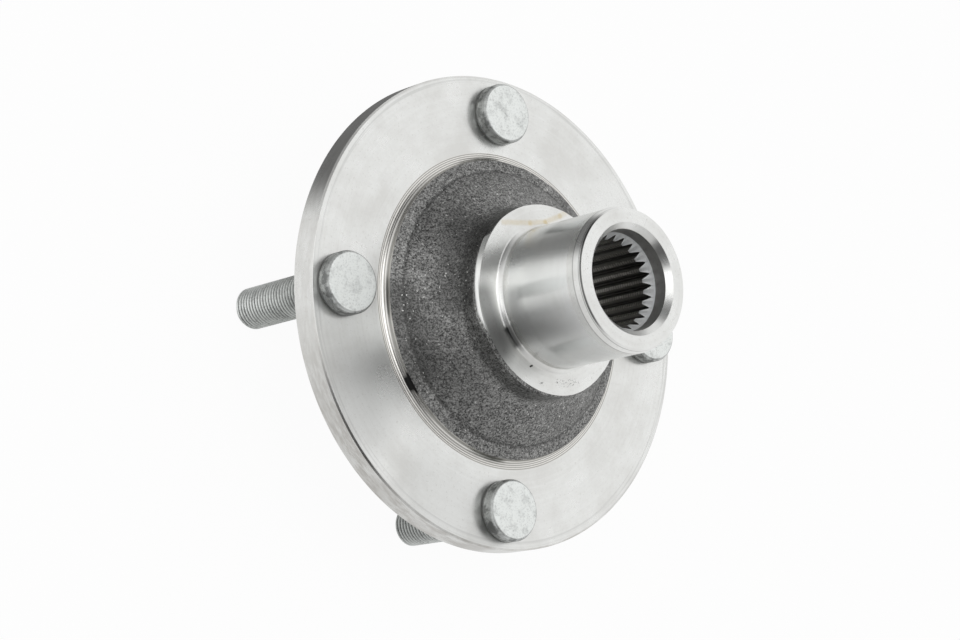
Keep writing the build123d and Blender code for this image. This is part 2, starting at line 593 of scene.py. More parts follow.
@dataclass(frozen=True)
class ForgedScale(Finish):
    """Shot-blasted forging scale: dark grey and granular, with pale grains and a few bright ones that are
    partly painted glints.
    """

    grain: Grain = Grain(0.52, 3.0, 0.75)
    knots: Grain = Grain(1.3, 3.0, 0.7)
    lumps: Grain = Grain(2.8, 3.0, 0.6)
    clouds: Grain = Grain(14.0)
    sparks: Grain = Grain(0.75, 1.0)
    grain_depth: float = 0.15
    dark: float = 0.34
    pale: float = 3.25
    bright: float = 4.6
    crease_width: float = 0.25
    crease_top: Span = (13.0, 14.0)

    def shade(self, spot: Spot, skin: Skin) -> None:
        """Scatters pale grains over the dark scale, with fewer of them along the crease line and in the shade
        patches, both of which are painted shade.

        Args:
            spot: The shaded point.
            skin: The finish's skin, which is changed.
        """
        grain, knots, lumps = (spot.speckle(kind) for kind in (self.grain, self.knots, self.lumps))
        pale = (grain * 0.75 + knots * 0.25).step(0.37, 0.65) * (0.74 + 0.6 * (lumps - 0.5))
        pale = pale + (spot.speckle(self.clouds) - 0.5) * 0.16
        # Painted shade: the pale grains thin out along the crease line, so that the crease shows darker.
        wavering = spot.radius + (lumps - 0.5) * 2.4
        crease = wavering.within((CREASE_RADIUS - self.crease_width, CREASE_RADIUS), 0.45)
        pale = (pale * (1 - 0.55 * crease * (1 - spot.z.step(*self.crease_top)))).held()
        # Painted shade: the web's shade patches take the pale grains away.
        for shade in PAINTED_WEB_SHADES:
            pale = pale * (1 - shade.mask(spot))
        skin.colour = self.tinted(self.dark)
        skin.lay(pale, self.tinted(self.pale))
        # Bright grains: partly real bright metal, partly painted glints.
        skin.lay(spot.speckle(self.sparks).step(0.715, 0.75) * 0.85, self.tinted(self.bright))
        skin.roughness = self.roughness - 0.10 * pale
        skin.emboss(grain * 0.45 + knots * 0.5 + lumps * 0.5, self.grain_depth)


@dataclass(frozen=True)
class GroundSteel(Finish):
    """Ground bearing seat: bright, with very fine rings."""

    rings: Grain = Grain(0.18, 3.0, 0.6)
    streak: Grain = Grain(1.2, 3.0, 0.7)
    clouds: Grain = Grain(9.0, 3.0)
    ring_depth: float = 0.0022
    wear: float = 0.14

    def shade(self, spot: Spot, skin: Skin) -> None:
        """Wears the seat in clouds and in streaks round the axis, and gives it its rings.

        Args:
            spot: The shaded point.
            skin: The finish's skin, which is changed.
        """
        clouds = spot.speckle(self.clouds)
        streaks = spot.streaks(self.streak, spot.z, spot.x * 0.05, spot.y * 0.05)
        worn = clouds.step(0.4, 0.8) * 0.5 + streaks.step(0.5, 0.8) * 0.6
        skin.lay(worn.held(), self.tinted(1 - self.wear, 0.01))
        skin.roughness = self.roughness + (clouds - 0.5) * 0.06
        skin.emboss(spot.streaks(self.rings, spot.z, spot.x * 0.01, spot.y * 0.01), self.ring_depth)


@dataclass(frozen=True)
class BroachedSteel(Finish):
    """Broached spline: dark oiled tooth spaces, painted darker towards their roots as shade, and lands
    painted brighter with painted glints along them.
    """

    film: Grain = Grain(0.8, 3.0, 0.7)
    glints: Grain = Grain(0.7, 2.0, 0.7)
    chatter_pitch: float = 0.9
    land_edge: Span = (12.18, 12.29)
    root_shade_edge: Span = (12.45, 13.0)

    def shade(self, spot: Spot, skin: Skin) -> None:
        """Darkens the tooth spaces towards their roots as painted shade, and paints the lands brighter, with
        chatter and glints, as painted highlights.

        Args:
            spot: The shaded point.
            skin: The finish's skin, which is changed.
        """
        film = spot.streaks(self.film, spot.x, spot.y, spot.z * 0.15)
        glints = spot.streaks(self.glints, spot.x, spot.y, spot.z * 0.5).step(0.52, 0.66)
        chatter = (spot.z * (math.tau / self.chatter_pitch)).wave().step(0.0, 0.6)
        # Painted highlight: the lands are lightened, with dotted chatter and glints.
        painted_land_highlight = skin.graph.blend(glints * 0.5 + chatter * 0.5, self.tinted(1.7), self.tinted(3.5))
        land = 1 - spot.radius.step(*self.land_edge)
        skin.colour = self.tinted(1.3)
        # Painted shade: the tooth spaces are darker towards their roots.
        skin.lay(spot.radius.step(*self.root_shade_edge), self.tinted(0.35))
        skin.lay(land * (0.6 + 0.4 * film), painted_land_highlight)
        skin.roughness = self.roughness + (film - 0.5) * 0.2


@dataclass(frozen=True)
class ZincFlake(Finish):
    """Matt zinc-flake coating of the studs, mottled, darker on the shank, and with painted shade round the
    heads and in the threads.
    """

    specks: Grain = Grain(0.5, 3.0, 0.7)
    patches: Grain = Grain(3.2, 4.0, 0.65)
    speck_depth: float = 0.02
    head_edge: Span = (HEAD_RADIUS - 0.62, HEAD_RADIUS - 0.35)
    head_side: Span = (HEAD_RADIUS - 0.4, HEAD_RADIUS - 0.1)
    head_wall: Span = (HEAD_RADIUS - 0.3, HEAD_RADIUS - 0.1)
    head_foot: Span = (FLANGE_FACE - 0.1, FLANGE_FACE + 0.5)
    above_foot: Span = (FLANGE_FACE + 0.2, FLANGE_FACE + 0.6)
    flank: Span = (THREAD_ROOT + 0.08, THREAD_CREST - 0.1)
    below_seat: Span = (-0.2, 0.0)

    def shade(self, spot: Spot, skin: Skin) -> None:
        """Mottles the coating, and paints shade on the head and in the thread of the nearest stud.

        Args:
            spot: The shaded point.
            skin: The finish's skin, which is changed.
        """
        wide, narrow = abs(spot.x), abs(spot.y)
        along = wide.larger(narrow) - BOLT_CIRCLE_RADIUS
        aside = wide.smaller(narrow)
        radius = (along * along + aside * aside).root()
        specks = spot.speckle(self.specks)
        patches = spot.speckle(self.patches)
        dark = specks.step(0.48, 0.74) * 0.34 + patches.step(0.46, 0.72) * 0.36
        # Painted shade on the head and in the thread's grooves joins the real mottling.
        dark = dark + self.painted_head_shade(radius, spot.z, patches) + self.thread_tone_and_groove_shade(radius, spot.z)
        skin.colour = self.tinted(1.11)
        skin.lay(dark.held(), self.tinted(0.28))
        skin.roughness = self.roughness + (specks - 0.5) * 0.2
        skin.emboss(specks, self.speck_depth)

    def painted_head_shade(self, radius: Signal, height: Signal, patches: Signal) -> Signal:
        """Painted shade along the head's edge, at its foot on the flange, and on its side and wall.

        Args:
            radius: Radius about the stud's axis, in millimetres.
            height: Height in the hub's frame, in millimetres.
            patches: Noise that makes the dirt patchy.

        Returns:
            Share of painted shade.
        """
        # Painted shade: a patchy dark edge, a contact shadow at the foot, and a darker side and wall.
        edge = radius.within(self.head_edge, 0.22) * height.step(*self.above_foot)
        foot = height.within(self.head_foot, 0.5)
        side = radius.step(*self.head_side) * patches.step(0.42, 0.62)
        wall = radius.step(*self.head_wall)
        return edge * (0.25 + 0.5 * patches) + foot * 0.6 + side * 0.4 + wall * 0.55

    def thread_tone_and_groove_shade(self, radius: Signal, height: Signal) -> Signal:
        """Darker tone of the shank, with painted shade between the thread's crests."""
        # Painted shade in the thread's grooves, over a darker tone of the whole shank.
        groove = 1 - radius.step(*self.flank)
        return (groove * 0.85 + 0.16) * (1 - height.step(*self.below_seat))


# ---------------------------------------------------------------------------
# Mesh tools
# ---------------------------------------------------------------------------


def at(radius: float, height: float) -> Vector:
    """Point of a half section, which lies in the XZ plane."""
    return Vector((radius, 0.0, height))


def polar(radius: float, angle: float, height: float = 0.0) -> Vector:
    """Point at a radius, an angle in radians and a height."""
    return Vector((radius * math.cos(angle), radius * math.sin(angle), height))


def smooth(value: float, start: float, end: float) -> float:
    """Smooth rise from 0 at start to 1 at end."""
    share = min(1.0, max(0.0, (value - start) / (end - start)))
    return share * share * (3 - 2 * share)


@dataclass(frozen=True)
class Corner:
    """A corner of a half section, with the radius that rounds it."""

    radius: float
    height: float
    rounding: float = 0.0
    segments: int = 2

    def point(self) -> Vector:
        """The corner in the section's plane."""
        return at(self.radius, self.height)


def rounded(corners: Sequence[Corner]) -> list[Vector]:
    """Outline through corners, with an arc in place of each that has a rounding.

    Args:
        corners: The outline's corners, in order. Its two ends stay sharp.

    Returns:
        Points of the outline, in the XZ plane.
    """
    outline = [corners[0].point()]
    for before, corner, after in zip(corners, corners[1:], corners[2:]):
        if not corner.rounding:
            outline.append(corner.point())
            continue
        back = (before.point() - corner.point()).normalized()
        ahead = (after.point() - corner.point()).normalized()
        half_angle = back.angle(ahead) / 2
        centre = corner.point() + (back + ahead).normalized() * corner.rounding / math.sin(half_angle)
        reach = corner.rounding / math.tan(half_angle)
        first = (corner.point() + back * reach - centre).normalized()
        last = (corner.point() + ahead * reach - centre).normalized()
        outline += [
            centre + first.slerp(last, step / corner.segments) * corner.rounding
            for step in range(corner.segments + 1)
        ]
    return [*outline, corners[-1].point()]


def divided(outline: Sequence[Vector], spacing: float) -> list[Vector]:
    """The same outline with points no further apart than a spacing.

    Args:
        outline: Points of the outline.
        spacing: Largest distance between two neighbours.

    Returns:
        The closer points.
    """
    points = [outline[0]]
    for start, end in zip(outline, outline[1:]):
        count = max(1, math.ceil((end - start).length / spacing))
        points += [start.lerp(end, step / count) for step in range(1, count + 1)]
    return points


def everything(mesh: bmesh.types.BMesh) -> list[Any]:
    """All vertices, edges and faces of a mesh."""
    return [*mesh.verts, *mesh.edges, *mesh.faces]


def turn(mesh: bmesh.types.BMesh, outline: Sequence[Vector], steps: int, zone: int = 0) -> None:
    """Turns one stretch of a half section into a band of faces about the axis.

    Args:
        mesh: Mesh that gets the band.
        outline: Points of the stretch, in the XZ plane.
        steps: Number of faces round the axis.
        zone: Material slot of the band.
    """
    band = bmesh.new()
    verts = [band.verts.new(point) for point in outline]
    edges = [band.edges.new(pair) for pair in zip(verts, verts[1:])]
    bmesh.ops.spin(band, geom=[*verts, *edges], cent=ORIGIN, axis=AXIS, angle=math.tau, steps=steps,
                   use_merge=True)
    for face in band.faces:
        face.material_index = zone
    join(mesh, band)


def join(mesh: bmesh.types.BMesh, other: bmesh.types.BMesh) -> None:
    """Adds another mesh's faces to a mesh, and frees the other.

    Args:
        mesh: Mesh that gets the faces.
        other: Mesh that is added.
    """
    carrier = bpy.data.meshes.new("carrier")
    other.to_mesh(carrier)
    other.free()
    mesh.from_mesh(carrier)
    bpy.data.meshes.remove(carrier)


def close_up(mesh: bmesh.types.BMesh, distance: float = 0.001) -> None:
    """Merges the doubles of a mesh that lie within a distance, and turns its faces outwards."""
    bmesh.ops.remove_doubles(mesh, verts=mesh.verts, dist=distance)
    bmesh.ops.recalc_face_normals(mesh, faces=mesh.faces)


def soften(data: Mesh, sharp_angle: float) -> None:
    """Shades a mesh smooth, with the edges over an angle, in degrees, sharp."""
    data.shade_smooth()
    data.set_sharp_from_angle(angle=math.radians(sharp_angle))


def link(name: str, data: ID) -> Object:
    """Makes an object of a mesh, a lamp or a camera, and adds it to the scene.

    Args:
        name: The object's name.
        data: The mesh, the lamp or the camera.

    Returns:
        The object.
    """
    made = bpy.data.objects.new(name, data)
    bpy.context.scene.collection.objects.link(made)
    return made


def add_object(name: str, mesh: bmesh.types.BMesh, materials: Iterable[Material],
               sharp_angle: float) -> Object:
    """Makes an object of a finished mesh, in metres, and frees the mesh.

    Args:
        name: The object's name.
        mesh: Its mesh, in millimetres.
        materials: Its material slots.
        sharp_angle: Angle between faces, in degrees, above which an edge is sharp.

    Returns:
        The object, at the origin.
    """
    bmesh.ops.scale(mesh, vec=(MM, MM, MM), verts=mesh.verts)
    data = bpy.data.meshes.new(name)
    for material in materials:
        data.materials.append(material)
    mesh.to_mesh(data)
    mesh.free()
    soften(data, sharp_angle)
    return link(name, data)


def apply(target: Object) -> None:
    """Applies an object's modifiers to its mesh.

    Args:
        target: The object.
    """
    graph = bpy.context.evaluated_depsgraph_get()
    finished = bpy.data.meshes.new_from_object(target.evaluated_get(graph))
    target.modifiers.clear()
    plain = target.data
    target.data = finished
    finished.name = target.name
    bpy.data.meshes.remove(plain)


def cut(target: Object, tool: Object) -> None:
    """Cuts a tool's solid out of an object and removes the tool.

    Args:
        target: Object that is cut.
        tool: Object whose solid is taken away.
    """
    modifier = target.modifiers.new("cut", "BOOLEAN")
    modifier.operation = "DIFFERENCE"
    modifier.solver = "EXACT"
    modifier.object = tool
    apply(target)
    bpy.data.objects.remove(tool)


def settle(target: Object, sharp_angle: float) -> None:
    """Shades an object smooth, with its flat faces flat.

    Args:
        target: The object.
        sharp_angle: Angle between faces, in degrees, above which an edge is sharp.
    """
    soften(target.data, sharp_angle)
    modifier = target.modifiers.new("flat_faces", "WEIGHTED_NORMAL")
    modifier.keep_sharp = True
    apply(target)


# ---------------------------------------------------------------------------
# The hub
# ---------------------------------------------------------------------------


@dataclass
class Spline:
    """Involute splines of the bore."""

    teeth: int = 25
    module: float = 1.0
    pressure_angle: float = 45.0
    tip_relief: float = 0.35
    root_depth: float = 0.60
    root_bulge: float = 0.02
    clocking: float = 4.2
    flank_points: int = 4

    def pitch_radius(self) -> float:
        """Radius of the pitch circle."""
        return self.teeth * self.module / 2

    def tip_radius(self) -> float:
        """Radius over the teeth's tips."""
        return self.pitch_radius() - self.tip_relief

    def involute(self, radius: float) -> float:
        """How far the involute turns from the base circle out to a radius.

        Args:
            radius: The radius.

        Returns:
            The turn, in radians.
        """
        base = self.pitch_radius() * math.cos(math.radians(self.pressure_angle))
        pressure = math.acos(base / radius)
        return math.tan(pressure) - pressure

    def half_angle(self, radius: float) -> float:
        """Half the angle, in radians, that a tooth space takes up at a radius."""
        return math.pi / (2 * self.teeth) - (self.involute(radius) - self.involute(self.pitch_radius()))

    def broach(self, low: float, high: float, overrun: float = 0.6) -> bmesh.types.BMesh:
        """Solid of all the tooth spaces.

        Args:
            low: Lowest height that it reaches.
            high: Highest height.
            overrun: How far it reaches into the open bore.

        Returns:
            The solid as a new mesh.
        """
        mesh = bmesh.new()
        tip = self.tip_radius()
        root = self.pitch_radius() + self.root_depth
        radii = [tip + (root - tip) * step / self.flank_points for step in range(self.flank_points + 1)]
        flank = [(radius, self.half_angle(radius)) for radius in radii]
        side = [(tip - overrun, flank[0][1]), *flank]
        lower = [polar(radius, -angle, low) for radius, angle in side]
        upper = [polar(radius, angle, low) for radius, angle in reversed(side)]
        floor = [polar(root + self.root_bulge, 0.0, low)]
        face = mesh.faces.new([mesh.verts.new(point) for point in [*lower, *floor, *upper]])
        walls = bmesh.ops.extrude_face_region(mesh, geom=[face], use_keep_orig=True)
        top = [item for item in walls["geom"] if isinstance(item, bmesh.types.BMVert)]
        bmesh.ops.translate(mesh, vec=(0, 0, high - low), verts=top)
        bmesh.ops.rotate(mesh, verts=mesh.verts, cent=ORIGIN,
                         matrix=Matrix.Rotation(math.radians(self.clocking), 3, "Z"))
        bmesh.ops.spin(mesh, geom=everything(mesh), cent=ORIGIN, axis=AXIS, angle=math.tau,
                       steps=self.teeth, use_duplicate=True)
        close_up(mesh)
        return mesh


@dataclass
class Forging:
    """How the raw web of the forging departs from its nominal section."""

    lean: float = 1.75
    lean_angle: float = 209.0
    neck_radius: float = 26.87
    band_start: Span = (145.0, 150.0)
    band_end: Span = (194.0, 213.0)
    band_flare: float = 0.45
    thinnest_band: float = 0.04
    neck_gap: float = 0.05
    neck_run: float = 5.0
    calm_border: float = 1.5
    calm_share: float = 0.4
    edge_share: float = 0.6
    rise_share: float = 0.8
    lump_size: float = 5.0
    lump_height: float = 0.16
    lump_falloff: float = 0.8
    lump_ratio: float = 2.1
    lump_layers: int = 3

    def raw_radius(self, angle: float) -> float:
        """Radius of the raw neck at an angle in degrees."""
        return self.neck_radius + self.lean * math.cos(math.radians(angle - self.lean_angle))

    def band_share(self, angle: float) -> float:
        """Share of the turned band below the shoulder that clears the raw neck at an angle."""
        return smooth(angle, *self.band_start) * (1 - smooth(angle, *self.band_end))

    def lumps(self, point: Vector) -> float:
        """Unevenness of the raw surface at a point."""
        layers = (self.lump_falloff, self.lump_ratio, self.lump_layers)
        return noise.fractal(point / self.lump_size, *layers) * self.lump_height


@dataclass
class WheelHub:
    """The hub forging: flange, spigot, web, bearing seat and splined bore."""

    flange_radius: float = 68.0
    flange_thickness: float = FLANGE_FACE
    flange_outboard_chamfer: float = 0.6
    flange_inboard_chamfer: float = 0.48
    rim_width: float = 4.0
    pilot_radius: float = 33.0
    pilot_length: float = 9.5
    pilot_chamfer: float = 1.5
    relief_width: float = 3.0
    relief_depth: float = 0.5
    nut_seat_radius: float = 24.0
    nut_seat_height: float = 2.0
    nut_recess_draft: float = 12.0
    web_radius: float = 42.8
    web_height: float = 10.2
    web_fillet: float = 2.0
    web_skirt: float = 1.5
    web_spacing: float = 0.7
    crease_radius: float = CREASE_RADIUS
    crease_height: float = 11.4
    web_slope: float = 42.0
    neck_radius: float = 28.2
    neck_fillet: float = 7.0
    shoulder_radius: float = 27.3
    shoulder_height: float = SHOULDER_FACE
    shoulder_band: float = 1.7
    journal_radius: float = 20.0
    fillet_reach: float = 3.0
    fillet_rise: float = 1.15
    fillet_rounding: float = 0.9
    nose_height: float = NOSE_FACE
    seat_start: float = 5.0
    nose_cone_foot: float = 2.74
    nose_edge_foot: float = 0.74
    nose_cone_radius: float = 19.5
    nose_edge_radius: float = 19.25
    mouth_chamfer: float = 1.53
    mouth_radius: float = 13.93
    counterbore_depth: float = 5.1
    counterbore_taper: float = 5.0
    entry_angle: float = 24.5
    exit_chamfer: float = 1.3
    broken_edge: float = 0.1
    bolt_circle_radius: float = BOLT_CIRCLE_RADIUS
    stud_hole_radius: float = 6.46
    stud_hole_segments: int = 48
    stud_count: int = 4
    tool_overrun: float = 1.0
    steps: int = 360
    sharp_angle: float = 32.0
    tolerance: float = 0.01
    spline: Spline = field(default_factory=Spline)
    forging: Forging = field(default_factory=Forging)

    def band_foot(self) -> float:
        """Height of the foot of the turned band under the shoulder."""
        return self.shoulder_height - self.shoulder_band

    def nose_side(self) -> list[tuple[Zone, list[Vector]]]:
        """Stretches of the section from the nose's end face down the journal to the shoulder's edge.

        Returns:
            Each stretch's finish and points.
        """
        journal, nose, shoulder = self.journal_radius, self.nose_height, self.shoulder_height
        end_face = rounded([
            Corner(self.mouth_radius + self.mouth_chamfer, nose),
            Corner(self.nose_edge_radius, nose, 0.10),
            Corner(self.nose_cone_radius, nose - self.nose_edge_foot, 0.15),
            Corner(journal, nose - self.nose_cone_foot, 0.40, 3),
            Corner(journal, nose - self.seat_start),
        ])
        seat = [at(journal, nose - self.seat_start), at(journal, shoulder + self.fillet_reach)]
        fillet = rounded([
            Corner(journal, shoulder + self.fillet_reach),
            Corner(journal, shoulder + self.fillet_rise, self.fillet_rounding, 5),
            Corner(journal + self.fillet_rise, shoulder, self.fillet_rounding, 5),
            Corner(journal + self.fillet_reach, shoulder),
        ])
        face = [at(journal + self.fillet_reach, shoulder), at(self.shoulder_radius, shoulder)]
        return [(Zone.TURNED, end_face), (Zone.GROUND, seat), (Zone.TURNED, fillet), (Zone.TURNED, face)]

    def flange_side(self) -> list[tuple[Zone, list[Vector]]]:
        """Stretches of the section from the shoulder's edge down the web to the flange's rim.

        Returns:
            Each stretch's finish and points.
        """
        flange = self.flange_thickness
        foot = self.band_foot()
        rise = (self.crease_radius - self.neck_radius) * math.tan(math.radians(self.web_slope))
        inboard, outboard = self.flange_inboard_chamfer, self.flange_outboard_chamfer
        face_start = self.web_radius + self.web_fillet + self.web_skirt
        band = [at(self.shoulder_radius, self.shoulder_height), at(self.shoulder_radius, foot)]
        web = divided(rounded([
            Corner(self.shoulder_radius, foot),
            Corner(self.neck_radius, foot),
            Corner(self.neck_radius, self.crease_height + rise, self.neck_fillet, 10),
            Corner(self.crease_radius, self.crease_height),
            Corner(self.web_radius, self.web_height),
        ]), self.web_spacing)
        base = rounded([
            Corner(self.web_radius, self.web_height),
            Corner(self.web_radius, flange, self.web_fillet, 8),
            Corner(face_start, flange),
        ])
        rim = rounded([
            Corner(face_start, flange),
            Corner(self.flange_radius - inboard, flange, self.broken_edge),
            Corner(self.flange_radius, flange - inboard, self.broken_edge),
            Corner(self.flange_radius, outboard, self.broken_edge),
            Corner(self.flange_radius - outboard, 0, self.broken_edge),
            Corner(self.flange_radius - self.rim_width, 0),
        ])
        return [(Zone.TURNED, band), (Zone.FORGED, web), (Zone.TURNED, base), (Zone.TURNED, rim)]

    def wheel_side(self) -> list[tuple[Zone, list[Vector]]]:
        """The stretch of the section from the flange's rim, round the spigot, to the bore.

        Returns:
            Each stretch's finish and points.
        """
        relief = self.pilot_radius + self.relief_width
        mouth = self.nut_seat_radius + (self.pilot_length + self.nut_seat_height) * math.tan(
            math.radians(self.nut_recess_draft))
        tip = self.spline.tip_radius()
        seat = rounded([
            Corner(self.flange_radius - self.rim_width, 0),
            Corner(relief, 0, self.broken_edge),
            Corner(relief, self.relief_depth, 0.2),
            Corner(self.pilot_radius, self.relief_depth, 0.2),
            Corner(self.pilot_radius, self.pilot_chamfer - self.pilot_length, 0.3),
            Corner(self.pilot_radius - self.pilot_chamfer, -self.pilot_length, 0.3),
            Corner(mouth, -self.pilot_length, 0.6, 3),
            Corner(self.nut_seat_radius, self.nut_seat_height, 3.0, 6),
            Corner(tip + self.exit_chamfer, self.nut_seat_height, 0.15),
            Corner(tip, self.nut_seat_height + self.exit_chamfer),
        ])
        return [(Zone.TURNED, seat)]

    def bore_side(self) -> list[tuple[Zone, list[Vector]]]:
        """Stretches of the section up the bore to its mouth in the nose.

        Returns:
            Each stretch's finish and points.
        """
        tip = self.spline.tip_radius()
        foot = self.nose_height - self.counterbore_depth
        top = self.nose_height - self.mouth_chamfer
        foot_radius = self.mouth_radius - (top - foot) * math.tan(math.radians(self.counterbore_taper))
        entry = foot - (foot_radius - tip) / math.tan(math.radians(self.entry_angle))
        corners = [
            at(tip, self.nut_seat_height + self.exit_chamfer),
            at(tip, entry),
            at(foot_radius, foot),
            at(self.mouth_radius, top),
            at(self.mouth_radius + self.mouth_chamfer, self.nose_height),
        ]
        zones = (Zone.BROACHED, Zone.LEAD_IN, Zone.BORED, Zone.TURNED)
        return [(zone, [low, high]) for zone, low, high in zip(zones, corners, corners[1:])]

    def forge(self, point: Vector) -> Vector:
        """Moves a point of the nominal web or shoulder edge to where the raw forging has it.

        Args:
            point: The nominal point.

        Returns:
            Its place on the forging.
        """
        radius = math.hypot(point.x, point.y)
        angle = math.degrees(math.atan2(point.y, point.x)) % 360.0
        top = self.shoulder_height
        foot = self.band_foot()
        raw = self.forging.raw_radius(angle)
        share = self.forging.band_share(angle)
        edge = min(self.shoulder_radius, raw)
        foot_edge = edge + self.forging.band_flare * share
        band_foot = top - max(self.forging.thinnest_band, self.shoulder_band * share)
        rough = self.forging.lumps(point)
        if abs(radius - self.shoulder_radius) < self.tolerance and point.z > foot - self.tolerance:
            upper_end = point.z > top - self.tolerance
            radial = edge if upper_end else foot_edge
            radial += self.forging.edge_share * rough * (raw < self.shoulder_radius)
            return polar(radial, math.radians(angle), top if upper_end else band_foot)
        upper = smooth(point.z, self.crease_height, foot)
        inner = max(raw, foot_edge + self.forging.neck_gap) - self.neck_radius
        height = point.z + (band_foot - foot) * smooth(point.z, foot - self.forging.neck_run, foot)
        border = smooth(radius, self.web_radius, self.web_radius - self.forging.calm_border)
        calm = self.forging.calm_share
        radial = radius + inner * upper + rough * (calm + (1 - calm) * border)
        height += rough * border * (1 - upper) * self.forging.rise_share
        return polar(radial, math.radians(angle), height)

    def roughen(self, mesh: bmesh.types.BMesh) -> None:
        """Moves the web and the shoulder's edge to where the raw forging has them.

        Args:
            mesh: The hub as turned from its nominal section.
        """
        raw = {vert for face in mesh.faces if face.material_index == Zone.FORGED for vert in face.verts}
        shoulder_edge = [
            vert for vert in mesh.verts
            if vert.co.z > self.shoulder_height - self.tolerance
            and abs(math.hypot(vert.co.x, vert.co.y) - self.shoulder_radius) < self.tolerance
        ]
        for vert in raw.union(shoulder_edge):
            vert.co = self.forge(vert.co)

    def broach(self) -> bmesh.types.BMesh:
        """Solid of the tooth spaces, in the finish that they leave in the bore.

        Returns:
            The solid as a new mesh.
        """
        low = self.nut_seat_height - self.tool_overrun
        mesh = self.spline.broach(low, self.nose_height - self.counterbore_depth)
        for face in mesh.faces:
            face.material_index = Zone.BROACHED
        return mesh

    def stud_holes(self) -> bmesh.types.BMesh:
        """Solid of the holes that the studs are pressed into.

        Returns:
            The solid as a new mesh.
        """
        mesh = bmesh.new()
        length = self.flange_thickness + 2 * self.tool_overrun
        place = Matrix.Translation((self.bolt_circle_radius, 0, self.flange_thickness / 2))
        bmesh.ops.create_cone(mesh, cap_ends=True, segments=self.stud_hole_segments,
                              radius1=self.stud_hole_radius, radius2=self.stud_hole_radius,
                              depth=length, matrix=place)
        bmesh.ops.spin(mesh, geom=everything(mesh), cent=ORIGIN, axis=AXIS, angle=math.tau,
                       steps=self.stud_count, use_duplicate=True)
        close_up(mesh)
        return mesh

    def build(self, finishes: Sequence[Material]) -> Object:
        """Makes the hub.

        Args:
            finishes: Materials in the order of Zone.

        Returns:
            The hub's object.
        """
        mesh = bmesh.new()
        section = [*self.nose_side(), *self.flange_side(), *self.wheel_side(), *self.bore_side()]
        for zone, outline in section:
            turn(mesh, outline, self.steps, zone)
        close_up(mesh)
        self.roughen(mesh)
        hub = add_object("hub_forging", mesh, finishes, self.sharp_angle)
        for name, tool in (("broach", self.broach()), ("drill", self.stud_holes())):
            cut(hub, add_object(name, tool, finishes, self.sharp_angle))
        settle(hub, self.sharp_angle)
        return hub


# ---------------------------------------------------------------------------
# The studs
# ---------------------------------------------------------------------------


